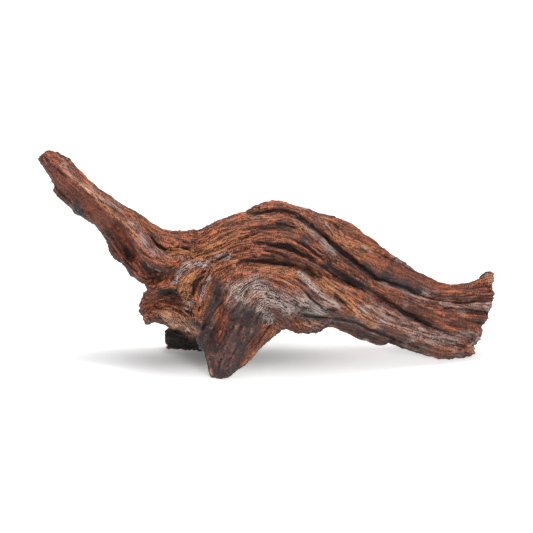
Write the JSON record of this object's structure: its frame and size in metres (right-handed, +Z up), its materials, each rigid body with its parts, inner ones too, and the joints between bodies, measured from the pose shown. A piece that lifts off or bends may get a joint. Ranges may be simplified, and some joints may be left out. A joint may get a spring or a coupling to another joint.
{
  "type": "aquarium driftwood",
  "caption": "Gnarled root driftwood for an aquarium: a limb rises at one end, a ridged hump arches over short leg-like roots, and the other end flares to broken strands.",
  "frame": {"origin": "middle of the bounding box, on the surface that the driftwood stands on", "axes": "+X along the wood towards the flared end, -Y towards the front, +Z up"},
  "size_m": [0.4, 0.115, 0.1941],
  "materials": {
    "driftwood": "dark red-brown root wood with orange crests and grey weathering, dull satin"
  },
  "bodies": {
    "root": {"trunk": "driftwood", "left_limb": "driftwood", "flared_end": "driftwood", "front_leg": "driftwood", "rear_root": "driftwood", "burl": "driftwood"}
  },
  "joints": []
}
